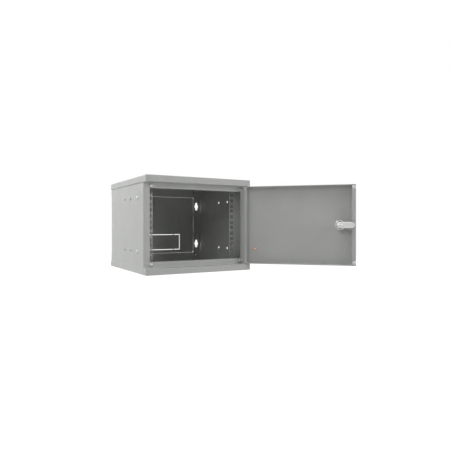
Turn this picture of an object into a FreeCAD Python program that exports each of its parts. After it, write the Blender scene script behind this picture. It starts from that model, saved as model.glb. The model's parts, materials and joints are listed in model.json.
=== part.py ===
import FreeCAD, Part
import math
import os
from FreeCAD import Rotation, Vector

# Wall mount network cabinet: four units of the 10 inch rack system, with a hinged and locked door.
#
# Lengths are in millimetres and angles in degrees. The origin is the centre of the underside of
# the bottom cover. +Z is up, the door is on the -Y side and the wall is on the +Y side, so that
# someone who faces the cabinet has +X on the right.
# The door is drawn shut and is then swung open about its hinge pins.

# Rack rails, which follow the rack standard
rack_units = 4
unit_height = 44.45
unit_hole_heights = (6.35, 22.225, 38.1)
rack_hole = 9.5
rack_hole_spacing = 236.52
rack_hole_edge = 2.5
rail_sheet = 1.5
rail_bend = 1.5
rail_setback = 30.0
rail_side_flange = 35.0
rail_overhang = 0.4
rail_corner = 3.0
rail_screw_spread = 134.0
rail_screw_pitch = 50.0
rail_places = 3

# Shell: two covers, two side panels, and a bent bar at the front and at the back of each cover
width = 292.0
depth = 300.0
sheet = 1.2
bend = 0.8
skirt = 16.0
shell_gap = 0.1
seam = 0.5
frame_recess = 20.0
frame_bar = 14.2
frame_return = 10.0
weld_leg = 11.0
opening_margin = 0.9
front_stile = 16.0
rear_stile = 24.2
rear_stile_lip = 8.2
rear_bar = 15.9
joint_gap = 0.3

# Back panel, with its ears behind the rear stiles
panel_gap = 0.35
panel_lap = 0.5
panel_corner = 4.0
ear_height = 16.0
ear_spacing = 62.2
ear_margin = 5.0
rivet_inset = 12.4

# Cable knock-outs in the back panel and in both covers
knockout_width = 144.4
knockout_height = 46.7
knockout_slot = 2.2
knockout_tab = 2.5
knockout_tab_spacing = 104.0
knockout_rise = 11.0
knockout_from_back = 62.0

# Keyholes that hang the cabinet on four wall screws
keyhole_spacing = 120.0
keyhole_inset = 11.1
keyhole_round = 13.0
keyhole_slot = 7.5
keyhole_length = 25.2

# Fasteners. Small round pieces have this many flats in place of round faces, to keep the model
# light. A flatted piece is as wide across its corners as the round one that it stands for.
fastener_flats = 12
hole_clearance = 0.4
thread_clearance = 0.1
m5 = 5.0
m5_nut_flats = 8.0
m5_nut_height = 4.0
m6 = 6.0
m6_nut_flats = 10.0
m6_nut_height = 5.0
thread_stub = 2.0
front_screw_head = 8.0
front_screw_head_height = 3.2
front_screw_inset = 18.6
front_screw_rise = 8.0
front_screw_land = 10.0
rear_screw_head = 10.5
rear_screw_head_height = 1.1
rear_screw_inset = 15.1
rear_screw_rise = 6.5
rail_screw_head = 10.0
rail_screw_head_height = 2.6
head_round = 0.9
rivet = 3.2
rivet_head = 6.4
rivet_head_height = 0.9
rivet_tail = 4.2
rivet_tail_height = 1.0

# Door
door_gap = 1.5
door_free_gap = 2.3
door_hinge_gap = 3.0
door_setback = 0.5
door_depth = 16.5
free_lip = 9.8
hinge_lip = 8.2
door_open = 135.28

# Hinges: a pin in each front bar, a flanged bush in the door
hinge_pin = 4.0
hinge_pin_collar_height = 2.0
hinge_pin_tip = 0.6
bush_outer = 6.0
bush_length = 5.0
bush_rim = 1.3
bush_flange_height = 1.2
bush_side_room = 0.3
bush_skin_room = 1.2
running_gap = 0.05

# Cam lock
lock_from_edge = 39.2
lock_head = 22.0
lock_head_height = 2.0
lock_barrel = 18.0
lock_barrel_flats = 16.0
lock_nut_flats = 23.0
lock_nut_height = 4.0
lock_nut_turn = 10.0
plug = 12.0
plug_collar = 15.6
plug_collar_height = 1.4
plug_gap = 0.1
plug_end_gap = 0.3
key_slot_width = 1.8
key_slot_height = 8.0
key_slot_depth = 14.0
cam_width = 15.4
cam_sheet = 2.5
cam_reach = 36.0
cam_clearance = 0.6
cam_square = 8.0
cam_screw = 5.0
cam_screw_head = 10.5
cam_screw_head_height = 3.5
cam_screw_length = 8.0
cam_screw_bevel = 1.6
cam_washer = 13.0
cam_washer_height = 1.0

# Door buffers and ground stud
buffer = 8.8
buffer_from_edge = 7.4
buffer_frame_gap = 0.3
stud = 6.0
stud_length = 15.0
stud_foot = 7.6
stud_foot_height = 0.8
stud_from_edge = 29.0
stud_rise = 39.8

# Places that follow from the sizes above
rack_height = rack_units * unit_height
rack_opening = rack_hole_spacing - rack_hole - 2 * rack_hole_edge
height = rack_height + 2 * (opening_margin + frame_bar + skirt)
middle = height / 2
front = -depth / 2
back = depth / 2
cover_side = width / 2
wall_side = cover_side - sheet - shell_gap
wall_inside = wall_side - sheet
bar_side = cover_side - sheet - joint_gap
bar_face = front + frame_recess
stile_face = bar_face + sheet
stile_back = stile_face + sheet
opening_foot = skirt + frame_bar
opening_side = wall_side - front_stile
rear_bar_face = back - sheet
rear_stile_face = rear_bar_face - sheet
rear_opening_side = wall_side - rear_stile
rear_bar_top = skirt + rear_bar
rail_face = bar_face + rail_setback
rail_screw_y = rail_face + rail_side_flange / 2
rail_screw_heights = (middle - rail_screw_spread / 2, middle + rail_screw_spread / 2)
front_screw_x = wall_side - front_screw_inset
front_screw_z = skirt + front_screw_rise
rear_screw_x = wall_side - rear_screw_inset
rear_screw_z = skirt + rear_screw_rise
ear_heights = (middle - ear_spacing / 2, middle + ear_spacing / 2)
rivet_x = rear_opening_side + rivet_inset
keyhole_x = rear_opening_side + keyhole_inset

door_foot = skirt + door_gap
door_height = height - 2 * door_foot
door_free_x = -cover_side + door_free_gap
door_hinge_x = cover_side - door_hinge_gap
door_front = front + door_setback
door_inside = door_front + sheet
door_back = door_front + door_depth
hinge_x = door_hinge_x - sheet - bush_side_room - bush_outer / 2
hinge_y = door_inside + bush_skin_room + bush_outer / 2
hinge_pin_collar = 2 * (hinge_y - front - 2 * sheet - bend - plug_gap)
lock_x = door_free_x + lock_from_edge
cam_face = stile_back + cam_clearance
stud_x = door_hinge_x - stud_from_edge
stud_z = door_foot + stud_rise

# Cutters are this long, which takes them clear through a sheet from its middle. Lengths that
# differ by less than the rounding count as the same.
cutter_length = 4 * sheet
rounding = 1e-6

up = Vector(0, 0, 1)
right = Vector(1, 0, 0)
to_wall = Vector(0, 1, 0)


def save(name, *solids):
    """Writes one named piece, or one group of like pieces, to its own file."""
    shape = solids[0] if len(solids) == 1 else Part.makeCompound(list(solids))
    shape.exportStep("parts/%s.step" % name)


def box(low, high):
    """Block between two opposite corners, each given as x, y, z."""
    size = Vector(*high) - Vector(*low)
    return Part.makeBox(size.x, size.y, size.z, Vector(*low))


def across(radius, centre, direction, length):
    """Round bar that runs equally far both ways from its centre."""
    start = centre - direction * (length / 2)
    return Part.makeCylinder(radius, length, start, direction)


def aim(shape, foot, direction, turn=0.0):
    """Turns a shape that is drawn up +Z about its own axis, points it and sets it on its foot."""
    turned = shape.copy()
    turned.Placement = FreeCAD.Placement(foot, Rotation(up, direction) * Rotation(up, turn))
    return turned


def other_side(shape):
    """The same piece on the other side of the cabinet."""
    return shape.mirror(Vector(0, 0, 0), right)


def other_end(shape):
    """The same piece at the top instead of the bottom."""
    return shape.mirror(Vector(0, 0, middle), up)


def four_corners(shape):
    """One piece at each corner of the cabinet's front or back."""
    pair = [shape, other_side(shape)]
    return pair + [other_end(piece) for piece in pair]


def rounded_run(corners, radii, place):
    """Edges of an open run of straight lines, with an arc at each of its right-angled corners."""
    edges = []
    start = corners[0]
    for before, corner, after, radius in zip(corners, corners[1:], corners[2:], radii):
        way_in = (corner - before).normalize() * radius
        way_out = (after - corner).normalize() * radius
        centre = corner - way_in + way_out
        crown = centre + (corner - centre).normalize() * radius
        points = [place(point) for point in (start, corner - way_in, crown, corner + way_out)]
        edges.append(Part.makeLine(points[0], points[1]))
        edges.append(Part.Arc(*points[1:]).toShape())
        start = corner + way_out
    edges.append(Part.makeLine(place(start), place(corners[-1])))
    return edges


def bent_sheet(run, thickness, inside_radius, place, extent):
    """Sheet bent at right angles, from its outline seen end on and the way it extends.

    The run lists the corners of the sheet's outer skin. The sheet lies on the right-hand side of
    the way the run goes. place puts a corner in space.
    """
    skin = [Vector(*corner) for corner in run]
    ways = [(after - before).normalize() for before, after in zip(skin, skin[1:])]
    sides = [Vector(way.y, -way.x, 0) * thickness for way in ways]
    shifts = [sides[0]] + [one + two for one, two in zip(sides, sides[1:])] + [sides[-1]]
    inner = [corner + shift for corner, shift in zip(skin, shifts)]
    turns_right = [one.cross(two).z < 0 for one, two in zip(ways, ways[1:])]
    wide = inside_radius + thickness
    skin_radii = [wide if turn else inside_radius for turn in turns_right]
    inner_radii = [inside_radius if turn else wide for turn in turns_right]
    skin_edges = rounded_run(skin, skin_radii, place)
    inner_edges = rounded_run(inner, inner_radii, place)
    ends = [Part.makeLine(place(skin[n]), place(inner[n])) for n in (0, -1)]
    outline = Part.Wire(Part.__sortEdges__(skin_edges + inner_edges + ends))
    return Part.Face(outline).extrude(extent)


def edges_where(shape, test):
    """Edges of a shape whose middle point passes a test."""
    return [edge for edge in shape.Edges if test(edge.CenterOfMass)]


def edges_along(shape, way):
    """Edges of a shape that run along one direction."""
    return [edge for edge in shape.Edges
            if edge.tangentAt(edge.FirstParameter).cross(way).Length < rounding]


def near(one, two):
    """Whether two places are the same within rounding."""
    return abs(one - two) < rounding


def rounded_plate(low, high, radius, axis):
    """Flat plate between two corners, with its four corners about one axis rounded."""
    plate = box(low, high)
    return plate.makeFillet(radius, edges_along(plate, axis))


def corner_seam(corner, direction, length):
    """Thin slit across a pan's corner where its two flanges meet, at 45 degrees to both."""
    half = sheet + bend
    slit = Part.makeBox(2 * half, seam, length, Vector(-half, -seam / 2, 0))
    return aim(slit, corner, direction, 45.0)


def knockout(centre, across_way, up_way, through):
    """Cutter for a rectangular knock-out that four short tabs hold."""
    def block(wide, high, shift=0.0):
        corner = Vector(shift - wide / 2, -high / 2, -cutter_length / 2)
        return Part.makeBox(wide, high, cutter_length, corner)

    ring = block(knockout_width + knockout_slot, knockout_height + knockout_slot)
    ring = ring.cut(block(knockout_width - knockout_slot, knockout_height - knockout_slot))
    for side in (-1, 1):
        ring = ring.cut(block(knockout_tab, 2 * knockout_height, side * knockout_tab_spacing / 2))
    ring.Placement = FreeCAD.Placement(centre, Rotation(across_way, up_way, through))
    return ring


def keyhole(centre):
    """Cutter for a hanging hole: an upright slot with a round middle."""
    half_run = (keyhole_length - keyhole_slot) / 2
    half = Vector(keyhole_slot, cutter_length, 2 * half_run) / 2
    slot = box(-half, half)
    slot = slot.fuse(across(keyhole_round / 2, Vector(0, 0, 0), to_wall, cutter_length))
    for end in (-half_run, half_run):
        slot = slot.fuse(across(keyhole_slot / 2, Vector(0, 0, end), to_wall, cutter_length))
    slot = slot.removeSplitter()
    slot.translate(centre)
    return slot


def flatted(*profile):
    """Small upright bar with flats, from its radius and height at each step of its outline."""
    turns = [math.radians(360 * n / fastener_flats) for n in range(fastener_flats + 1)]
    rings = [[Vector(radius * math.cos(t), radius * math.sin(t), rise) for t in turns]
             for radius, rise in profile]
    faces = [Part.Face(Part.makePolygon(ring)) for ring in (rings[0], rings[-1])]
    for low, high in zip(rings, rings[1:]):
        for n in range(fastener_flats):
            corners = [low[n], low[n + 1], high[n + 1], high[n], low[n]]
            faces.append(Part.Face(Part.makePolygon(corners)))
    return Part.makeSolid(Part.makeShell(faces))


def fastener_hole(diameter, clearance, centre, direction):
    """Cutter for the hole of a small fastener, which goes through a sheet at the given centre."""
    radius = diameter / 2 + clearance
    half = cutter_length / 2
    return aim(flatted((radius, -half), (radius, half)), centre, direction)


def screw(head, head_height, thread, length, bevel):
    """Pan head screw with its head up +Z. The origin is where the head meets the work."""
    cap = flatted((head / 2, 0), (head / 2, head_height - bevel), (head / 2 - bevel, head_height))
    shank = flatted((thread / 2, -length), (thread / 2, 0))
    return cap.fuse(shank).removeSplitter()


def hex_prism(flats, thickness):
    """Upright six-sided block, with two of its corners on the X axis."""
    reach = flats / math.sqrt(3)
    turns = [math.radians(60 * n) for n in range(7)]
    corners = [Vector(reach * math.cos(t), reach * math.sin(t), 0) for t in turns]
    return Part.Face(Part.makePolygon(corners)).extrude(Vector(0, 0, thickness))


def nut(flats, thickness, thread):
    """Hexagon nut that stands on the origin."""
    bore = thread / 2 + thread_clearance
    return hex_prism(flats, thickness).cut(flatted((bore, -thickness), (bore, 2 * thickness)))


def cover():
    """Bottom cover: a pan with its skirts turned up and its corners left open as slits."""
    low = (-cover_side, front, 0)
    outside = box(low, (cover_side, back, skirt))
    outside = outside.makeFillet(sheet + bend, edges_where(outside, lambda point: near(point.z, 0)))
    inside = box((-cover_side + sheet, front + sheet, sheet), (cover_side - sheet, back - sheet, 2 * skirt))
    inside = inside.makeFillet(bend, edges_where(inside, lambda point: near(point.z, sheet)))
    pan = outside.cut(inside)
    for side, end in ((-1, -1), (-1, 1), (1, -1), (1, 1)):
        corner = Vector(side * cover_side, end * back, sheet + bend)
        slit = corner_seam(Vector(0, 0, 0), up, skirt)
        if side != end:
            slit.rotate(Vector(0, 0, 0), up, 90)
        slit.translate(corner)
        pan = pan.cut(slit)
    exit_centre = Vector(0, back - knockout_from_back, sheet / 2)
    return pan.cut(knockout(exit_centre, right, to_wall, up))


def front_bar():
    """Lower front bar: welded inside the cover's skirt, run back, up, and in round the opening."""
    foot = skirt - weld_leg - sheet
    run = [(front + sheet, foot), (front + sheet, skirt), (bar_face, skirt),
           (bar_face, opening_foot), (bar_face + frame_return, opening_foot)]
    start = -wall_side
    bar = bent_sheet(run, sheet, bend, lambda p: Vector(start, p.x, p.y), Vector(2 * wall_side, 0, 0))
    for side in (-1, 1):
        inner = side * (opening_side - joint_gap)
        outer = side * cover_side
        trim = box((min(inner, outer), stile_face, opening_foot - sheet - bend),
                   (max(inner, outer), bar_face + 2 * frame_return, opening_foot + sheet))
        bar = bar.cut(trim)
        screw_place = Vector(side * front_screw_x, bar_face, front_screw_z)
        bar = bar.cut(fastener_hole(m5, hole_clearance, screw_place, to_wall))
    pin_hole = fastener_hole(hinge_pin, running_gap, Vector(hinge_x, hinge_y, skirt), up)
    return bar.cut(pin_hole).removeSplitter()


def rear_bar_piece():
    """Lower rear bar: a flat strip welded inside the cover's rear skirt."""
    foot = sheet + bend + joint_gap
    strip = box((-bar_side, rear_stile_face, foot), (bar_side, rear_bar_face, rear_bar_top))
    for side in (-1, 1):
        place = Vector(side * rear_screw_x, rear_bar_face, rear_screw_z)
        strip = strip.cut(fastener_hole(m6, hole_clearance, place, to_wall))
    return strip


def side_panel():
    """Left side panel, bent in at both ends into a stile. The rear stile ends in a lip."""
    run = [(-opening_side, stile_face), (-wall_side, stile_face),
           (-wall_side, rear_stile_face), (-rear_opening_side, rear_stile_face),
           (-rear_opening_side, rear_stile_face - rear_stile_lip)]
    foot = sheet + bend
    tall = height - 2 * foot
    panel = bent_sheet(run, sheet, bend, lambda p: Vector(p.x, p.y, foot), Vector(0, 0, tall))

    land_top = opening_foot - sheet - bend - joint_gap
    land = box((-opening_side - sheet, stile_face, sheet + bend + joint_gap),
               (-front_screw_x + front_screw_land, stile_back, land_top))
    panel = panel.fuse([land, other_end(land)])

    holes = []
    for place in rail_screw_heights:
        for n in range(rail_places):
            centre = Vector(-wall_side, rail_screw_y + n * rail_screw_pitch, place)
            holes.append(fastener_hole(m6, hole_clearance, centre, right))
    for place in ear_heights:
        centre = Vector(-rivet_x, rear_stile_face, place)
        holes.append(fastener_hole(rivet, thread_clearance, centre, to_wall))
    for step in (-1, 1):
        holes.append(keyhole(Vector(-keyhole_x, rear_stile_face, middle + step * keyhole_spacing / 2)))
    front_place = Vector(-front_screw_x, stile_face, front_screw_z)
    rear_place = Vector(-rear_screw_x, rear_stile_face, rear_screw_z)
    front_hole = fastener_hole(m5, hole_clearance, front_place, to_wall)
    rear_hole = fastener_hole(m6, hole_clearance, rear_place, to_wall)
    for hole in (front_hole, rear_hole):
        holes += [hole, other_end(hole)]
    return panel.cut(holes).removeSplitter()


def back_panel():
    """Back panel: its sides lap just behind the rear stiles, and its four ears are riveted to them."""
    half = rear_opening_side + panel_lap
    foot = rear_bar_top + panel_gap
    panel = rounded_plate((-half, rear_stile_face, foot), (half, rear_bar_face, height - foot),
                          panel_corner, to_wall)
    ear_side = rivet_x + ear_margin
    for place in ear_heights:
        ears = rounded_plate((-ear_side, rear_stile_face, place - ear_height / 2),
                             (ear_side, rear_bar_face, place + ear_height / 2), panel_corner, to_wall)
        panel = panel.fuse(ears)
    for place in ear_heights:
        for side in (-1, 1):
            centre = Vector(side * rivet_x, rear_stile_face, place)
            panel = panel.cut(fastener_hole(rivet, thread_clearance, centre, to_wall))
    exit_centre = Vector(0, rear_stile_face + sheet / 2, foot + knockout_rise + knockout_height / 2)
    return panel.cut(knockout(exit_centre, right, up, -to_wall)).removeSplitter()


def rack_rail():
    """Left rack rail: an angle with the standard's square holes in its front flange."""
    run = [(-rack_opening / 2, rail_face), (-wall_inside, rail_face),
           (-wall_inside, rail_face + rail_side_flange)]
    foot = middle - rack_height / 2 - rail_overhang
    tall = rack_height + 2 * rail_overhang
    rail = bent_sheet(run, rail_sheet, rail_bend, lambda p: Vector(p.x, p.y, foot), Vector(0, 0, tall))
    corners = edges_where(rail, lambda p: near(p.x, -rack_opening / 2)
                          and (near(p.z, foot) or near(p.z, foot + tall)))
    corners += edges_where(rail, lambda p: near(p.y, rail_face + rail_side_flange)
                           and (near(p.z, foot) or near(p.z, foot + tall)))
    rail = rail.makeChamfer(rail_corner, corners)
    holes = []
    for unit in range(rack_units):
        for rise in unit_hole_heights:
            place = foot + rail_overhang + unit * unit_height + rise
            centre = Vector(-rack_hole_spacing / 2, rail_face, place)
            half = rack_hole / 2
            reach = Vector(half, 2 * rail_sheet, half)
            holes.append(box(centre - reach, centre + reach))
    for place in rail_screw_heights:
        centre = Vector(-wall_inside, rail_screw_y, place)
        holes.append(fastener_hole(m6, hole_clearance, centre, right))
    return rail.cut(holes)


def door_panel():
    """Door, shut: a pan whose upright sides end in lips turned in towards each other."""
    low = Vector(door_free_x, door_front, door_foot)
    high = Vector(door_hinge_x, door_back, door_foot + door_height)
    outside = box(low, high)
    folded = edges_where(outside, lambda p: near(p.y, door_front)
                         or (near(p.y, door_back) and not near(p.x, (low.x + high.x) / 2)))
    outside = outside.makeFillet(sheet + bend, folded)

    wall = Vector(sheet, sheet, sheet)
    inside = box(low + wall, high - wall)
    rounded = edges_where(inside, lambda p: near(p.y, door_inside)
                          or (near(p.y, door_back - sheet) and not near(p.x, (low.x + high.x) / 2)))
    inside = inside.makeFillet(bend, rounded)
    mouth = box((low.x + free_lip, door_inside + sheet, low.z + sheet),
                (high.x - hinge_lip, door_back + sheet, high.z - sheet))
    door = outside.cut([inside, mouth])

    for corner_x, turn_x in ((low.x, 1), (high.x, -1)):
        for corner_z, turn_z in ((low.z, 1), (high.z, -1)):
            slit = corner_seam(Vector(0, 0, 0), to_wall, door_depth)
            if turn_x == turn_z:
                slit.rotate(Vector(0, 0, 0), to_wall, 90)
            slit.translate(Vector(corner_x, door_inside + bend, corner_z))
            door = door.cut(slit)
    for lip_low, lip_high in ((low.x + sheet + bend, low.x + free_lip),
                              (high.x - hinge_lip, high.x - sheet - bend)):
        for edge in (low.z + sheet, high.z - sheet - seam):
            door = door.cut(box((lip_low, door_back - 2 * sheet, edge),
                                (lip_high, door_back + sheet, edge + seam)))

    for place in (low.z, high.z):
        door = door.cut(fastener_hole(bush_outer, running_gap, Vector(hinge_x, hinge_y, place), up))
    lock_hole = barrel(plug_gap, Vector(lock_x, door_front - sheet, middle), cutter_length)
    return door.cut(lock_hole).removeSplitter()


def barrel(growth, start, length):
    """The lock's round barrel with its two flats, grown by a clearance where it makes a hole."""
    round_bar = Part.makeCylinder(lock_barrel / 2 + growth, length)
    reach = lock_barrel
    half = lock_barrel_flats / 2 + growth
    slab = box((-reach, -half, 0), (reach, half, length))
    return aim(round_bar.common(slab), start, to_wall)


def buffer_places():
    """Centres of the two buffers, on the back of the door's free lip."""
    lip_middle = door_free_x + free_lip / 2
    low = Vector(lip_middle, door_back, door_foot + buffer_from_edge)
    high = Vector(lip_middle, door_back, door_foot + door_height - buffer_from_edge)
    return low, high


def door_buffer():
    """Domed buffer that sticks to the lip. It stands on the origin and points up +Z."""
    crown = frame_recess - door_setback - door_depth - buffer_frame_gap
    steps = [math.radians(angle) for angle in (0, 30, 60, 80)]
    return flatted(*[(buffer / 2 * math.cos(step), crown * math.sin(step)) for step in steps])


def hinge_pin_piece():
    """Lower hinge pin: its collar sits under the front bar and its tapered end stands in the bush."""
    base = skirt - sheet
    length = door_gap + sheet + bush_length
    collar = flatted((hinge_pin_collar / 2, -hinge_pin_collar_height), (hinge_pin_collar / 2, 0))
    shaft = flatted((hinge_pin / 2, 0), (hinge_pin / 2, length - hinge_pin_tip),
                    (hinge_pin / 2 - hinge_pin_tip, length))
    return aim(collar.fuse(shaft).removeSplitter(), Vector(hinge_x, hinge_y, base), up)


def hinge_bush():
    """Lower hinge bush: its flange lies under the door and its barrel stands inside."""
    seat = Vector(hinge_x, hinge_y, door_foot)
    rim = bush_outer / 2 + bush_rim
    flange = flatted((rim, -bush_flange_height), (rim, 0))
    body = flatted((bush_outer / 2, 0), (bush_outer / 2, bush_length))
    bore = across(hinge_pin / 2 + running_gap, Vector(0, 0, 0), up, 4 * bush_length)
    return aim(flange.fuse(body).cut(bore).removeSplitter(), seat, up)


def lock_housing():
    """Lock housing: a round head outside the door and a flatted barrel that runs in to the cam."""
    centre = Vector(lock_x, door_front, middle)
    head = Part.makeCylinder(lock_head / 2, lock_head_height, centre, -to_wall)
    rim = edges_where(head, lambda p: near(p.y, door_front - lock_head_height))
    head = head.makeChamfer(bend, rim)
    body = head.fuse(barrel(0, centre, cam_face - plug_end_gap - door_front))
    body = body.cut(across(plug / 2 + plug_gap, centre, to_wall, 4 * frame_recess))
    seat = Part.makeCylinder(plug_collar / 2 + plug_gap, plug_collar_height + plug_end_gap,
                             centre - to_wall * lock_head_height, to_wall)
    return body.cut(seat).removeSplitter()


def lock_nut():
    """Thin hexagon nut that clamps the lock to the door's inner face."""
    ring = hex_prism(lock_nut_flats, lock_nut_height)
    place = Vector(lock_x, door_inside, middle)
    ring = aim(ring, place, to_wall, lock_nut_turn)
    hole = across(lock_barrel / 2 + thread_clearance, place, to_wall, 4 * lock_nut_height)
    return ring.cut(hole)


def lock_plug():
    """Key plug: a collar in the lock's head, a round body and a square end that turns the cam."""
    outer = door_front - lock_head_height
    start = Vector(lock_x, outer, middle)
    collar = Part.makeCylinder(plug_collar / 2, plug_collar_height, start, to_wall)
    body = Part.makeCylinder(plug / 2, cam_face - outer, start, to_wall)
    half = cam_square / 2
    square = box((lock_x - half, cam_face, middle - half),
                 (lock_x + half, cam_face + cam_sheet, middle + half))
    square = square.makeChamfer(bend, edges_along(square, to_wall))
    key_slot = box((lock_x - key_slot_width / 2, outer - sheet, middle - key_slot_height / 2),
                   (lock_x + key_slot_width / 2, outer + key_slot_depth, middle + key_slot_height / 2))
    end = Vector(lock_x, cam_face + cam_sheet, middle)
    thread_bore = cam_screw / 2 + thread_clearance
    thread = flatted((thread_bore, -cam_screw_length - thread_stub), (thread_bore, thread_stub))
    thread = aim(thread, end, to_wall)
    return collar.fuse([body, square]).cut([key_slot, thread]).removeSplitter()


def lock_cam():
    """Cam: a flat arm, rounded at both ends, that reaches behind the stile when it is locked."""
    half = cam_width / 2
    tip = cam_reach - half
    centre = Vector(lock_x, cam_face, middle)
    arm = box((lock_x - tip, cam_face, middle - half), (lock_x, cam_face + cam_sheet, middle + half))
    ends = [Part.makeCylinder(half, cam_sheet, place, to_wall) for place in (centre, centre - right * tip)]
    fit = cam_square / 2 + plug_gap
    hole = box((lock_x - fit, cam_face - sheet, middle - fit),
               (lock_x + fit, cam_face + 2 * cam_sheet, middle + fit))
    hole = hole.makeChamfer(bend, edges_along(hole, to_wall))
    return arm.fuse(ends).cut(hole).removeSplitter()


def washer(outer, inner, thickness):
    """Flat washer that stands on the origin."""
    hole = flatted((inner / 2, -thickness), (inner / 2, 2 * thickness))
    return flatted((outer / 2, 0), (outer / 2, thickness)).cut(hole)


def ground_stud():
    """Threaded stud welded to the inner face of the door by its wider foot."""
    foot = flatted((stud_foot / 2, 0), (stud_foot / 2, stud_foot_height))
    shank = Part.makeCylinder(stud / 2, stud_length)
    shank = shank.makeChamfer(bend, edges_where(shank, lambda point: near(point.z, stud_length)))
    return aim(foot.fuse(shank).removeSplitter(), Vector(stud_x, door_inside, stud_z), to_wall)


def swing(shape):
    """Swings a piece of the shut door open about the hinge pins."""
    return shape.rotated(Vector(hinge_x, hinge_y, 0), up, door_open)


os.makedirs("parts", exist_ok=True)

# Shell
bottom_cover = cover()
save("bottom_cover", bottom_cover)
save("top_cover", other_end(bottom_cover))
bottom_front_bar = front_bar()
save("bottom_front_rail", bottom_front_bar)
save("top_front_rail", other_end(bottom_front_bar))
bottom_rear_bar = rear_bar_piece()
save("bottom_rear_rail", bottom_rear_bar)
save("top_rear_rail", other_end(bottom_rear_bar))
left_panel = side_panel()
save("left_side_panel", left_panel)
save("right_side_panel", other_side(left_panel))
save("back_panel", back_panel())
left_rail = rack_rail()
save("left_rack_rail", left_rail)
save("right_rack_rail", other_side(left_rail))

# Fasteners of the shell
front_grip = 2 * sheet + m5_nut_height + thread_stub
front_screw = aim(screw(front_screw_head, front_screw_head_height, m5, front_grip, head_round),
                  Vector(front_screw_x, bar_face, front_screw_z), -to_wall)
save("front_frame_screws", *four_corners(front_screw))
front_nut = aim(nut(m5_nut_flats, m5_nut_height, m5),
                Vector(front_screw_x, stile_back, front_screw_z), to_wall)
save("front_frame_nuts", *four_corners(front_nut))

rear_grip = 2 * sheet + m6_nut_height + thread_stub
rear_screw = aim(screw(rear_screw_head, rear_screw_head_height, m6, rear_grip, head_round),
                 Vector(rear_screw_x, rear_bar_face, rear_screw_z), to_wall)
save("rear_frame_screws", *four_corners(rear_screw))
rear_nut = aim(nut(m6_nut_flats, m6_nut_height, m6),
               Vector(rear_screw_x, rear_stile_face - sheet, rear_screw_z), -to_wall, 90.0)
save("rear_frame_nuts", *four_corners(rear_nut))

rail_grip = sheet + rail_sheet + m6_nut_height + thread_stub
rail_screw = aim(screw(rail_screw_head, rail_screw_head_height, m6, rail_grip, head_round),
                 Vector(wall_side, rail_screw_y, rail_screw_heights[0]), right)
save("rack_rail_screws", *four_corners(rail_screw))
rail_nut = aim(nut(m6_nut_flats, m6_nut_height, m6),
               Vector(wall_inside - rail_sheet, rail_screw_y, rail_screw_heights[0]), -right)
save("rack_rail_nuts", *four_corners(rail_nut))

rivet_grip = 2 * sheet
rivet_body = screw(rivet_head, rivet_head_height, rivet, rivet_grip, rivet_head_height / 2)
rivet_end = flatted((rivet_tail / 2, -rivet_grip - rivet_tail_height), (rivet_tail / 2, -rivet_grip))
rivet_piece = aim(rivet_body.fuse(rivet_end).removeSplitter(),
                  Vector(rivet_x, rear_bar_face, ear_heights[0]), to_wall)
save("back_panel_rivets", *four_corners(rivet_piece))

# Hinges
lower_pin = hinge_pin_piece()
save("lower_hinge_pin", lower_pin)
save("upper_hinge_pin", other_end(lower_pin))
lower_bush = hinge_bush()
save("lower_hinge_bush", swing(lower_bush))
save("upper_hinge_bush", swing(other_end(lower_bush)))

# Door and what it carries
save("door_panel", swing(door_panel()))
save("lock_housing", swing(lock_housing()))
save("lock_nut", swing(lock_nut()))
save("door_buffers", *[swing(aim(door_buffer(), place, to_wall)) for place in buffer_places()])
save("ground_stud", swing(ground_stud()))

# The lock's turning pieces
cam_back = cam_face + cam_sheet
cam_washer_piece = aim(washer(cam_washer, cam_screw + 2 * hole_clearance, cam_washer_height),
                       Vector(lock_x, cam_back, middle), to_wall)
cam_screw_piece = aim(screw(cam_screw_head, cam_screw_head_height, cam_screw,
                            cam_washer_height + cam_screw_length, cam_screw_bevel),
                      Vector(lock_x, cam_back + cam_washer_height, middle), to_wall)
save("lock_plug", swing(lock_plug()))
save("lock_cam", swing(lock_cam()))
save("lock_cam_washer", swing(cam_washer_piece))
save("lock_cam_screw", swing(cam_screw_piece))
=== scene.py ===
import json
import math

import bmesh
import bpy
from mathutils import Matrix, Vector


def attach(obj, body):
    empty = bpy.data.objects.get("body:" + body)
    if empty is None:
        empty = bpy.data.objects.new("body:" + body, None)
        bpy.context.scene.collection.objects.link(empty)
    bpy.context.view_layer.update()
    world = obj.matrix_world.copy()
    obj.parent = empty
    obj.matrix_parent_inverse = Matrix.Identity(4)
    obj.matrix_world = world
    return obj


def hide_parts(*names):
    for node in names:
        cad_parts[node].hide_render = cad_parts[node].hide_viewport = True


# Wall mount network cabinet: the looks. Every length is in metres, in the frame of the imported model.
# The sheet metal keeps its CAD shape. Screws, nuts, rivets, lock, stud, buffers and hinges are
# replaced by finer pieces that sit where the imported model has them.

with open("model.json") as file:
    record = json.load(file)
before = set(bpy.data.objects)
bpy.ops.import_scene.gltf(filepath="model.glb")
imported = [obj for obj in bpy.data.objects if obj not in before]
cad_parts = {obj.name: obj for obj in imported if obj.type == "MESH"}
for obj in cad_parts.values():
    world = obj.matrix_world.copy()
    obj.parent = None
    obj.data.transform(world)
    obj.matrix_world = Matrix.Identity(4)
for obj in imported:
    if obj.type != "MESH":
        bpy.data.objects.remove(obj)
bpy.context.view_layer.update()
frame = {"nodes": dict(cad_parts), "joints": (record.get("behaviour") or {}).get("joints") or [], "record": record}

MM = 0.001
nodes = frame["nodes"]
joints = {joint["name"]: joint for joint in frame["joints"]}


# ---------------------------------------------------------------- materials

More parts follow.
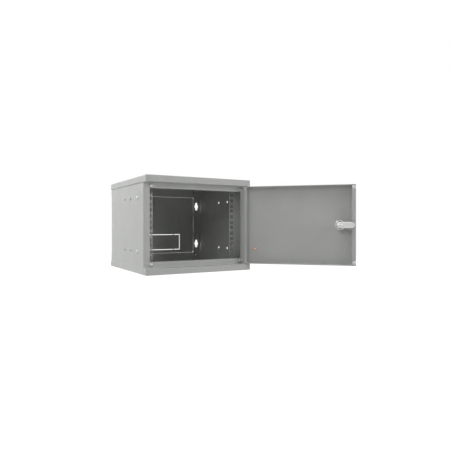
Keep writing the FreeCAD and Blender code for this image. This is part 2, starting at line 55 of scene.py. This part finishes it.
def new_material(name, colour, metallic, roughness):
    """Material with a principled shader, and the texture coordinate that its detail reads."""
    material = bpy.data.materials.new(name)
    material.use_nodes = True
    tree = material.node_tree
    shader = tree.nodes["Principled BSDF"]
    shader.inputs["Base Color"].default_value = (*colour, 1.0)
    shader.inputs["Metallic"].default_value = metallic
    shader.inputs["Roughness"].default_value = roughness
    place = tree.nodes.new("ShaderNodeTexCoord")
    return material, tree, shader, place.outputs["Object"]


def noise(tree, place, size, detail=2.0):
    """Noise whose grains are about as large as size, in metres."""
    grain = tree.nodes.new("ShaderNodeTexNoise")
    grain.inputs["Scale"].default_value = 1.0 / size
    grain.inputs["Detail"].default_value = detail
    tree.links.new(place, grain.inputs["Vector"])
    return grain.outputs["Fac"]


def spread(tree, value, low=0.0, high=1.0):
    """Maps the middle of a noise to a range."""
    ramp = tree.nodes.new("ShaderNodeMapRange")
    ramp.inputs["From Min"].default_value = 0.3
    ramp.inputs["From Max"].default_value = 0.7
    ramp.inputs["To Min"].default_value = low
    ramp.inputs["To Max"].default_value = high
    tree.links.new(value, ramp.inputs["Value"])
    return ramp.outputs["Result"]


def shade(tree, shader, value, dark, light):
    """Colours the shader between two colours by a value from 0 to 1."""
    mix = tree.nodes.new("ShaderNodeMix")
    mix.data_type = "RGBA"
    mix.inputs["A"].default_value = (*dark, 1.0)
    mix.inputs["B"].default_value = (*light, 1.0)
    tree.links.new(value, mix.inputs["Factor"])
    tree.links.new(mix.outputs["Result"], shader.inputs["Base Color"])


def bump(tree, shader, value, height):
    """Raises the surface by a value from 0 to 1, up to height in metres."""
    relief = tree.nodes.new("ShaderNodeBump")
    relief.inputs["Strength"].default_value = 1.0
    relief.inputs["Distance"].default_value = height
    tree.links.new(value, relief.inputs["Height"])
    tree.links.new(relief.outputs["Normal"], shader.inputs["Normal"])


def tinted(colour, factor):
    return tuple(channel * factor for channel in colour)


def uneven_gloss(tree, shader, value, glossy, dull):
    """Varies the roughness between two values by a noise."""
    tree.links.new(spread(tree, value, glossy, dull), shader.inputs["Roughness"])


def powder_coat():
    """Light grey powder coat: faint cloudy shade, a fine orange peel and uneven gloss."""
    colour = (0.56, 0.57, 0.55)
    cloud_size = 45 * MM
    peel_size = 1.1 * MM
    peel_height = 0.12 * MM
    gloss_size = 6 * MM
    material, tree, shader, place = new_material("powder_coat", colour, 0.0, 0.5)
    clouds = spread(tree, noise(tree, place, cloud_size, 3.0))
    shade(tree, shader, clouds, tinted(colour, 0.975), tinted(colour, 1.025))
    bump(tree, shader, noise(tree, place, peel_size), peel_height)
    uneven_gloss(tree, shader, noise(tree, place, gloss_size), 0.46, 0.56)
    return material


def plated(name, colour, glossy, dull):
    """Plated metal: patchy tint, a fine grain and uneven gloss."""
    patch_size = 3 * MM
    grain_size = 0.4 * MM
    grain_height = 0.008 * MM
    material, tree, shader, place = new_material(name, colour, 1.0, (glossy + dull) / 2)
    patches = spread(tree, noise(tree, place, patch_size, 3.0))
    shade(tree, shader, patches, tinted(colour, 0.88), colour)
    grain = noise(tree, place, grain_size, 3.0)
    uneven_gloss(tree, shader, grain, glossy, dull)
    bump(tree, shader, grain, grain_height)
    return material


def moulded(name, colour, roughness, grain_size):
    """Rubber or plastic: faint mottling, a fine moulded grain and uneven gloss."""
    mottle_size = 2 * MM
    grain_height = 0.01 * MM
    gloss_size = 1 * MM
    gloss_spread = 0.06
    material, tree, shader, place = new_material(name, colour, 0.0, roughness)
    mottle = spread(tree, noise(tree, place, mottle_size, 3.0))
    shade(tree, shader, mottle, tinted(colour, 0.95), colour)
    bump(tree, shader, noise(tree, place, grain_size), grain_height)
    gloss = noise(tree, place, gloss_size)
    uneven_gloss(tree, shader, gloss, roughness - gloss_spread, roughness + gloss_spread)
    return material


finishes = {
    "powder_coat": powder_coat(),
    "zinc_plate": plated("zinc_plate", (0.58, 0.58, 0.575), 0.26, 0.46),
    "lock_metal": plated("lock_metal", (0.62, 0.61, 0.59), 0.20, 0.36),
    "rivet_metal": plated("rivet_metal", (0.72, 0.72, 0.73), 0.30, 0.50),
    "copper_plate": plated("copper_plate", (0.64, 0.36, 0.27), 0.30, 0.48),
    "white_rubber": moulded("white_rubber", (0.90, 0.90, 0.89), 0.32, 0.5 * MM),
    "nylon": moulded("nylon", (0.80, 0.80, 0.77), 0.40, 0.8 * MM),
}

slots = {entry["node"]: entry["material_slot"] for entry in frame["record"]["subparts"]}
for name, node in nodes.items():
    node.data.materials.clear()
    node.data.materials.append(finishes[slots[name]])


# ---------------------------------------------------------------- shapes

UP = Vector((0.0, 0.0, 1.0))
ROUND = 48
CREASE = math.radians(35)


def skinned(rings, closed=False):
    """Mesh through rings of points. A ring whose points are all the same becomes a tip."""
    mesh = bmesh.new()
    lines = []
    for ring in rings:
        if len(set(ring)) == 1:
            lines.append([mesh.verts.new(ring[0])] * len(ring))
        else:
            lines.append([mesh.verts.new(point) for point in ring])
    following = lines[1:] + lines[:1] if closed else lines[1:]
    for low, high in zip(lines, following):
        for step in range(len(low)):
            after = (step + 1) % len(low)
            corners = dict.fromkeys((low[step], low[after], high[after], high[step]))
            mesh.faces.new(list(corners))
    for line in () if closed else (lines[0], lines[-1]):
        if len(set(line)) > 1:
            mesh.faces.new(line)
    bmesh.ops.recalc_face_normals(mesh, faces=mesh.faces)
    data = bpy.data.meshes.new("shape")
    mesh.to_mesh(data)
    mesh.free()
    return data


def revolved(profile, limit=None, around=ROUND):
    """Turns a profile of (radius, height) about +Z.

    A limit gives the greatest radius at an angle and a height, which makes flats, corners and
    threads. The profile runs from the axis to the axis, or goes round a bore.
    """
    rings = []
    for radius, height in profile:
        ring = []
        for step in range(around):
            turn = math.tau * step / around
            reach = min(radius, limit(turn, height)) if limit else radius
            ring.append((reach * math.cos(turn), reach * math.sin(turn), height))
        rings.append(ring)
    return skinned(rings, closed=profile[0][0] > 0)


def rounding(radius, height, wide, tall, start, end, steps=6):
    """Points of a rounded edge about a centre, between two angles in degrees."""
    turns = [math.radians(start + (end - start) * step / steps) for step in range(steps + 1)]
    return [(radius + wide * math.cos(turn), height + tall * math.sin(turn)) for turn in turns]


def threaded(outer, pitch, low, high):
    """Rows of a threaded length, and the limit that cuts the thread into them."""
    count = round(4 * (high - low) / pitch)
    heights = [low + (high - low) * step / count for step in range(count)]

    def limit(turn, height):
        if height < low or height >= high:
            return math.inf
        phase = (height / pitch - turn / math.tau) % 1.0
        return outer - 0.5 * pitch * abs(2 * phase - 1)

    return [(outer, height) for height in heights], limit


def block(low, high, taper=1.0):
    """Block between two corners, whose lower end is narrower by a factor."""
    rings = []
    for height, factor in ((low[2], taper), (high[2], 1.0)):
        corners = ((low[0], low[1]), (high[0], low[1]), (high[0], high[1]), (low[0], high[1]))
        rings.append([(x * factor, y * factor, height) for x, y in corners])
    return skinned(rings)


def carved(data, cutter):
    """A mesh with a cutter's shape taken out of it."""
    work = bpy.data.objects.new("work", data)
    tool = bpy.data.objects.new("cutter", cutter)
    for piece in (work, tool):
        bpy.context.scene.collection.objects.link(piece)
    cut = work.modifiers.new("cut", "BOOLEAN")
    cut.object = tool
    cut.solver = "EXACT"
    graph = bpy.context.evaluated_depsgraph_get()
    result = bpy.data.meshes.new_from_object(work.evaluated_get(graph))
    for piece in (work, tool):
        bpy.data.objects.remove(piece)
    return result


# ---------------------------------------------------------------- places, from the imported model

def solids(name):
    """Corner points of each separate solid of a CAD node."""
    mesh = bmesh.new()
    mesh.from_mesh(nodes[name].data)
    bmesh.ops.remove_doubles(mesh, verts=mesh.verts, dist=0.001 * MM)
    seen = set()
    groups = []
    for start in mesh.verts:
        if start in seen:
            continue
        seen.add(start)
        group = [start]
        for vert in group:
            others = [edge.other_vert(vert) for edge in vert.link_edges]
            fresh = [other for other in others if other not in seen]
            seen.update(fresh)
            group.extend(fresh)
        groups.append([vert.co.copy() for vert in group])
    mesh.free()
    return groups


def facing(foot, way):
    """Frame at a place with +Z along a direction. Its +Y is up, unless the direction is."""
    side = UP.cross(way) if abs(way.z) < 0.5 else Vector((1.0, 0.0, 0.0))
    turn = Matrix((side, way.cross(side), way)).transposed()
    return Matrix.Translation(foot) @ turn.to_4x4()


class Seat:
    """Where a solid sits: a frame on its axis at its low end, and its sizes in that frame."""

    def __init__(self, points, way, foot=None):
        if foot is None:
            frame_here = facing(Vector((0.0, 0.0, 0.0)), way)
            local = [frame_here.inverted() @ point for point in points]
            middle = [(min(p[n] for p in local) + max(p[n] for p in local)) / 2 for n in (0, 1)]
            foot = frame_here @ Vector((*middle, 0.0))
        frame_here = facing(foot, way)
        local = [frame_here.inverted() @ point for point in points]
        low = min(point.z for point in local)
        far = max(local, key=lambda point: point.x ** 2 + point.y ** 2)
        self.frame = frame_here @ Matrix.Translation((0.0, 0.0, low))
        self.length = max(point.z for point in local) - low
        self.reach = math.hypot(far.x, far.y)
        self.corner = math.atan2(far.y, far.x)

    def turned(self, angle):
        return self.frame @ Matrix.Rotation(angle, 4, "Z")


def dress(name, data, frames):
    """Copies of a mesh, joined into one finished piece that stands for a CAD node."""
    mesh = bmesh.new()
    for place in frames:
        copy = data.copy()
        copy.transform(place)
        mesh.from_mesh(copy)
        bpy.data.meshes.remove(copy)
    bmesh.ops.recalc_face_normals(mesh, faces=mesh.faces)
    whole = bpy.data.meshes.new("fine_" + name)
    mesh.to_mesh(whole)
    mesh.free()
    whole.shade_smooth()
    whole.set_sharp_from_angle(angle=CREASE)
    whole.materials.clear()
    whole.materials.append(finishes[slots[name]])
    piece = bpy.data.objects.new("fine_" + name, whole)
    bpy.context.scene.collection.objects.link(piece)
    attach(piece, bodies[name])
    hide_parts(name)


bodies = {name: body for body, members in frame["record"]["behaviour"]["bodies"].items()
          for name in members}
TO_FRONT = Vector((0.0, -1.0, 0.0))
TO_WALL = Vector((0.0, 1.0, 0.0))


def outward(points):
    """Way out of the cabinet's nearer side."""
    return Vector((math.copysign(1.0, points[0].x), 0.0, 0.0))


# ---------------------------------------------------------------- screws, nuts and rivets

M5 = (5 * MM, 0.8 * MM)
M6 = (6 * MM, 1 * MM)


def pan_screw(reach, length, head_height, thread, slot_depth):
    """Cross-recessed pan head screw that stands on its tip. A thread is a diameter and a pitch."""
    under = length - head_height
    diameter, pitch = thread
    outer = diameter / 2
    rows, limit = threaded(outer, pitch, 0.6 * pitch, under)
    rim = 0.12 * head_height
    profile = [(0.0, 0.0), (outer - 0.6 * pitch, 0.0)] + rows
    profile += [(outer, under), (reach - rim, under), (reach, under + rim)]
    profile += rounding(0.0, under + 0.35 * head_height, reach, 0.65 * head_height, 0, 78)
    profile.append((0.0, length))
    data = revolved(profile, limit)
    for wide, tall in ((0.52, 0.13), (0.13, 0.52)):
        corner = Vector((wide * reach, tall * reach, 0.0))
        low = -corner + UP * (length - slot_depth)
        high = corner + UP * (length + slot_depth)
        data = carved(data, block(low, high, 0.5))
    return data


def hex_nut(flats, height, bore):
    """Hexagon nut with its corners chamfered on both faces."""
    corner = flats / math.sqrt(3)
    face = 0.95 * flats / 2
    drop = 0.5 * (corner - face)

    def limit(turn, height):
        return flats / 2 / math.cos(turn % math.radians(60) - math.radians(30))

    edge = [(face + (corner - face) * step / 4, drop * step / 4) for step in range(5)]
    other_edge = [(radius, height - rise) for radius, rise in reversed(edge)]
    lead = 0.06 * flats
    profile = [(bore, lead), (bore + lead, 0.0)] + edge + other_edge
    profile += [(bore + lead, height), (bore, height - lead)]
    return revolved(profile, limit, 72)


def rivet(reach, length):
    """Blind rivet that stands on its set end, with the hollow that its broken stem leaves."""
    head_height = 0.9 * MM
    tail_height = 1.0 * MM
    shank = 1.6 * MM
    stem = 0.9 * MM
    under = length - head_height
    profile = [(0.0, 0.0), (1.2 * shank, 0.0), (1.3 * shank, 0.5 * tail_height), (shank, tail_height)]
    profile += [(shank, under), (reach, under)]
    profile += rounding(stem, under + 0.1 * MM, reach - stem, head_height - 0.1 * MM, 0, 90)
    profile += [(stem, length - 0.6 * MM), (0.0, length - 0.6 * MM)]
    return revolved(profile, None, 32)


def fit_screws(name, way_of, head_height, thread, slot_depth):
    """Screws of one CAD node, each turned to a different angle as a fitter would leave them."""
    seats = [Seat(points, way_of(points)) for points in solids(name)]
    data = pan_screw(seats[0].reach, seats[0].length, head_height, thread, slot_depth)
    dress(name, data, [seat.turned(0.4 + 1.1 * n) for n, seat in enumerate(seats)])


def fit_nuts(name, way_of, bore):
    """Nuts of one CAD node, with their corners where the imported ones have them."""
    seats = [Seat(points, way_of(points)) for points in solids(name)]
    flats = seats[0].reach * math.sqrt(3)
    data = hex_nut(flats, seats[0].length, bore)
    dress(name, data, [seat.turned(seat.corner) for seat in seats])


def to_front(points):
    return TO_FRONT


def to_wall(points):
    return TO_WALL


fit_screws("front_frame_screws", to_front, 3.2 * MM, M5, 1.8 * MM)
fit_screws("rear_frame_screws", to_wall, 1.1 * MM, M6, 0.8 * MM)
fit_screws("rack_rail_screws", outward, 2.6 * MM, M6, 1.8 * MM)
fit_nuts("front_frame_nuts", to_wall, 2.6 * MM)
fit_nuts("rear_frame_nuts", to_wall, 3.1 * MM)
fit_nuts("rack_rail_nuts", outward, 3.1 * MM)

rivet_seats = [Seat(points, TO_WALL) for points in solids("back_panel_rivets")]
dress("back_panel_rivets", rivet(rivet_seats[0].reach, rivet_seats[0].length),
      [seat.frame for seat in rivet_seats])


# ---------------------------------------------------------------- hinges

def hinge_pin(reach, length):
    """Pin on a welded collar, with a rounded tip."""
    radius = 2.0 * MM
    collar = 2.0 * MM
    edge = 0.3 * MM
    profile = [(0.0, 0.0), (reach - edge, 0.0), (reach, edge)]
    profile += [(reach, collar - edge), (reach - edge, collar), (radius, collar)]
    profile += rounding(radius - 2 * edge, length - 2 * edge, 2 * edge, 2 * edge, 0, 90)
    profile.append((0.0, length))
    return revolved(profile)


def hinge_bush(reach, length):
    """Nylon bush: a flange with rounded rims and a barrel round the pin."""
    bore = 2.05 * MM
    barrel = 3.0 * MM
    flange = 1.2 * MM
    edge = 0.25 * MM
    profile = [(bore, edge), (bore + edge, 0.0), (reach - edge, 0.0), (reach, edge), (reach, flange - edge)]
    profile += [(reach - edge, flange), (barrel, flange), (barrel, length - edge), (barrel - edge, length)]
    profile += [(bore + edge, length), (bore, length - edge)]
    return revolved(profile)


for end, way in (("lower", UP), ("upper", -UP)):
    for name, maker in ((end + "_hinge_pin", hinge_pin), (end + "_hinge_bush", hinge_bush)):
        seat = Seat(solids(name)[0], way)
        dress(name, maker(seat.reach, seat.length), [seat.frame])


# ---------------------------------------------------------------- lock

lock_place = Vector(joints["lock_turn"]["pos_m"])
lock_way = Vector(joints["lock_turn"]["axis"])


def on_lock(name):
    return Seat(solids(name)[0], lock_way, lock_place)


def lock_housing(reach, length):
    """Round head with a rolled rim, and a threaded barrel with two flats round the plug."""
    bore = 6.1 * MM
    collar = 7.9 * MM
    collar_depth = 1.7 * MM
    head = 2.0 * MM
    barrel = 9.0 * MM
    half_flats = 8.0 * MM
    rim = 0.8 * MM
    edge = 0.2 * MM
    rows, cut_thread = threaded(barrel, 1.0 * MM, head + 1.5 * MM, length - edge)

    def limit(turn, height):
        flat = half_flats / max(abs(math.sin(turn)), 0.001) if height > head else math.inf
        return min(flat, cut_thread(turn, height))

    profile = [(bore, length), (bore, collar_depth), (collar, collar_depth)]
    profile += [(collar, edge), (collar + edge, 0.0)]
    profile += rounding(reach - rim, rim, rim, rim, -90, 0)
    profile += [(reach, head), (barrel, head), (barrel, head + edge)] + rows + [(barrel - 2 * edge, length)]
    return revolved(profile, limit, 96)


def lock_plug(reach, length):
    """Key plug: a collar with a turned groove and a key slot, a body and a square end."""
    body = 6.0 * MM
    collar = 1.4 * MM
    square_from = length - 2.5 * MM
    half_square = 4.0 * MM
    edge = 0.3 * MM

    def limit(turn, height):
        if height <= square_from:
            return math.inf
        return half_square / max(abs(math.cos(turn)), abs(math.sin(turn)))

    profile = [(0.0, 0.0), (0.62 * reach, 0.0), (0.66 * reach, edge), (0.70 * reach, 0.0)]
    profile += [(reach - edge, 0.0), (reach, edge), (reach, collar), (body, collar), (body, square_from)]
    profile += [(1.3 * half_square, square_from + 0.001 * MM), (1.3 * half_square, length), (0.0, length)]
    key = Vector((0.9 * MM, 4.0 * MM, 0.0))
    return carved(revolved(profile, limit), block(-key - UP * MM, key + UP * 14 * MM))


def lock_cam(seat):
    """Stamped arm, rounded at both ends and along its edges, with a square hole."""
    hub = 7.7 * MM
    edge = 0.35 * MM
    tip = seat.reach - hub
    steps = 20

    def outline(inset, height):
        points = []
        for centre, start in ((tip, -90), (0.0, 90)):
            for step in range(steps + 1):
                turn = math.radians(start + 180 * step / steps)
                radius = hub - inset
                points.append((centre + radius * math.cos(turn), radius * math.sin(turn), height))
        return points

    levels = ((edge, 0.0), (0.1 * edge, 0.4 * edge), (0.0, edge),
              (0.0, seat.length - edge), (0.1 * edge, seat.length - 0.4 * edge), (edge, seat.length))
    fit = Vector((4.1 * MM, 4.1 * MM, 0.0))
    return carved(skinned([outline(*level) for level in levels]), block(-fit - UP * MM, fit + UP * 4 * MM))


def ring_washer(reach, length, bore):
    """Flat washer with its edges broken."""
    edge = 0.15 * MM
    profile = [(bore, edge), (bore + edge, 0.0), (reach - edge, 0.0), (reach, edge), (reach, length - edge)]
    profile += [(reach - edge, length), (bore + edge, length), (bore, length - edge)]
    return revolved(profile)


seat = on_lock("lock_housing")
dress("lock_housing", lock_housing(seat.reach, seat.length), [seat.frame])
seat = on_lock("lock_nut")
dress("lock_nut", hex_nut(seat.reach * math.sqrt(3), seat.length, 9.1 * MM), [seat.turned(seat.corner)])
seat = on_lock("lock_plug")
dress("lock_plug", lock_plug(seat.reach, seat.length), [seat.frame])
seat = on_lock("lock_cam")
dress("lock_cam", lock_cam(seat), [seat.turned(seat.corner)])
seat = on_lock("lock_cam_washer")
dress("lock_cam_washer", ring_washer(seat.reach, seat.length, 2.9 * MM), [seat.frame])
seat = on_lock("lock_cam_screw")
dress("lock_cam_screw", pan_screw(seat.reach, seat.length, 3.5 * MM, M5, 2.0 * MM),
      [seat.turned(0.5)])


# ---------------------------------------------------------------- ground stud and buffers

def ground_stud(reach, length):
    """Stud welded by its foot, with a thread and a chamfered end."""
    outer = 3.0 * MM
    foot = 0.8 * MM
    pitch = 1.0 * MM
    rows, limit = threaded(outer, pitch, foot + 0.6 * MM, length - 0.6 * pitch)
    profile = [(0.0, 0.0), (reach, 0.0), (reach, 0.5 * foot), (reach - 0.3 * MM, foot)]
    profile += [(outer, foot), (outer, foot + 0.3 * MM)] + rows
    profile += [(outer - 0.2 * pitch, length - 0.6 * pitch), (outer - 0.8 * pitch, length), (0.0, length)]
    return revolved(profile, limit)


def buffer(reach, length):
    """Self-adhesive buffer: a thin straight rim under a shallow dome."""
    rim = 0.15 * length
    profile = [(0.0, 0.0), (reach, 0.0), (reach, rim)]
    for step in range(1, 12):
        turn = math.radians(90 * step / 12)
        profile.append((reach * math.cos(turn) ** 0.7, rim + (length - rim) * math.sin(turn)))
    profile.append((0.0, length))
    return revolved(profile)


seat = Seat(solids("ground_stud")[0], lock_way)
dress("ground_stud", ground_stud(seat.reach, seat.length), [seat.frame])
buffer_seats = [Seat(points, lock_way) for points in solids("door_buffers")]
dress("door_buffers", buffer(buffer_seats[0].reach, buffer_seats[0].length),
      [seat.frame for seat in buffer_seats])


# ---------------------------------------------------------------- stage, lights and camera

WHITE = (1.0, 1.0, 1.0, 1.0)
PALE = (0.8, 0.8, 0.8, 1.0)
LAMP_TARGET = (0.0, 0.0, 0.1)


def seen_directly(tree):
    """1 for a ray that the camera, a reflection or a glass surface sends, and 0 for light."""
    path = tree.nodes.new("ShaderNodeLightPath")
    total = None
    for name in ("Is Camera Ray", "Is Glossy Ray", "Is Transmission Ray"):
        if total is None:
            total = path.outputs[name]
            continue
        most = tree.nodes.new("ShaderNodeMath")
        most.operation = "MAXIMUM"
        tree.links.new(total, most.inputs[0])
        tree.links.new(path.outputs[name], most.inputs[1])
        total = most.outputs[0]
    return total


def floor(height, half, own_light, near, far, reach):
    """Plain pale floor well below the cabinet, which hangs on a wall in use.

    A share of what is seen of it is its own light, whose strength rises from near to far at the
    reach, where the lamps have faded. The weaker glow in the middle is a painted shadow: it darkens
    the floor under the cabinet on top of its real shadow. The rest is lit by the lamps and so keeps
    the shadow.
    """
    mesh = bpy.data.meshes.new("floor")
    corners = [(-half, -half, 0.0), (half, -half, 0.0), (half, half, 0.0), (-half, half, 0.0)]
    mesh.from_pydata(corners, [], [(0, 1, 2, 3)])
    plane = bpy.data.objects.new("floor", mesh)
    plane.location = (0.0, 0.0, height)
    bpy.context.scene.collection.objects.link(plane)
    material = bpy.data.materials.new("floor")
    material.use_nodes = True
    tree = material.node_tree
    tree.nodes.clear()
    matt = tree.nodes.new("ShaderNodeBsdfDiffuse")
    matt.inputs["Color"].default_value = PALE
    place = tree.nodes.new("ShaderNodeTexCoord")
    distance = tree.nodes.new("ShaderNodeVectorMath")
    distance.operation = "LENGTH"
    tree.links.new(place.outputs["Object"], distance.inputs[0])
    # Glow is weakest right under the cabinet, which paints a faint shadow on the floor there.
    strength = tree.nodes.new("ShaderNodeMapRange")
    strength.inputs["From Max"].default_value = reach
    strength.inputs["To Min"].default_value = near
    strength.inputs["To Max"].default_value = far
    tree.links.new(distance.outputs["Value"], strength.inputs["Value"])
    glow = tree.nodes.new("ShaderNodeEmission")
    glow.inputs["Color"].default_value = WHITE
    tree.links.new(strength.outputs["Result"], glow.inputs["Strength"])
    part = tree.nodes.new("ShaderNodeMath")
    part.operation = "MULTIPLY"
    part.inputs[1].default_value = own_light
    tree.links.new(seen_directly(tree), part.inputs[0])
    mix = tree.nodes.new("ShaderNodeMixShader")
    out = tree.nodes.new("ShaderNodeOutputMaterial")
    tree.links.new(part.outputs[0], mix.inputs["Fac"])
    tree.links.new(matt.outputs[0], mix.inputs[1])
    tree.links.new(glow.outputs[0], mix.inputs[2])
    tree.links.new(mix.outputs[0], out.inputs["Surface"])
    mesh.materials.append(material)


def sky(zenith):
    """Soft light, strongest overhead and none from the horizon down. Seen itself, it is white."""
    world = bpy.data.worlds.new("studio")
    bpy.context.scene.world = world
    world.use_nodes = True
    tree = world.node_tree
    tree.nodes.clear()
    way = tree.nodes.new("ShaderNodeTexCoord")
    parts = tree.nodes.new("ShaderNodeSeparateXYZ")
    tree.links.new(way.outputs["Generated"], parts.inputs["Vector"])
    rise = tree.nodes.new("ShaderNodeMapRange")
    rise.inputs["To Max"].default_value = zenith
    tree.links.new(parts.outputs["Z"], rise.inputs["Value"])
    soft = tree.nodes.new("ShaderNodeBackground")
    soft.inputs["Color"].default_value = WHITE
    tree.links.new(rise.outputs["Result"], soft.inputs["Strength"])
    white = tree.nodes.new("ShaderNodeBackground")
    white.inputs["Color"].default_value = WHITE
    mix = tree.nodes.new("ShaderNodeMixShader")
    out = tree.nodes.new("ShaderNodeOutputWorld")
    tree.links.new(seen_directly(tree), mix.inputs["Fac"])
    tree.links.new(soft.outputs[0], mix.inputs[1])
    tree.links.new(white.outputs[0], mix.inputs[2])
    tree.links.new(mix.outputs[0], out.inputs["Surface"])


def softbox(name, place, side, power):
    """Soft square lamp that points at the cabinet and isn't seen itself. Its power is in watts."""
    lamp = bpy.data.lights.new(name, "AREA")
    lamp.shape = "SQUARE"
    lamp.size = side
    lamp.energy = power
    holder = bpy.data.objects.new(name, lamp)
    holder.location = place
    way = Vector(LAMP_TARGET) - Vector(place)
    holder.rotation_euler = way.to_track_quat("-Z", "Y").to_euler()
    holder.visible_camera = False
    bpy.context.scene.collection.objects.link(holder)


floor(height=-1.0, half=12.0, own_light=0.6, near=0.95, far=1.67, reach=1.2)
sky(0.4)
softbox("left_top_lamp", (-0.8, 0.1, 1.8), 0.9, 9.0)
softbox("left_back_lamp", (-1.3, 0.9, 1.3), 0.7, 20.0)
softbox("front_left_lamp", (-1.3, -1.3, 1.2), 1.0, 5.6)
softbox("front_right_lamp", (1.3, -1.9, 0.8), 1.2, 15.4)
softbox("right_lamp", (2.0, 0.2, 0.6), 1.2, 18.0)
softbox("back_lamp", (0.3, 2.0, 0.9), 1.2, 8.0)

camera = bpy.data.cameras.new("camera")
camera.lens = 35.0
camera.sensor_width = 36.0
holder = bpy.data.objects.new("camera", camera)
holder.location = (-0.4995, -1.1339, 0.1201)
holder.rotation_euler = (math.radians(90), 0.0, math.radians(-30))
bpy.context.scene.collection.objects.link(holder)
bpy.context.scene.camera = holder
bpy.context.scene.view_settings.view_transform = "Standard"
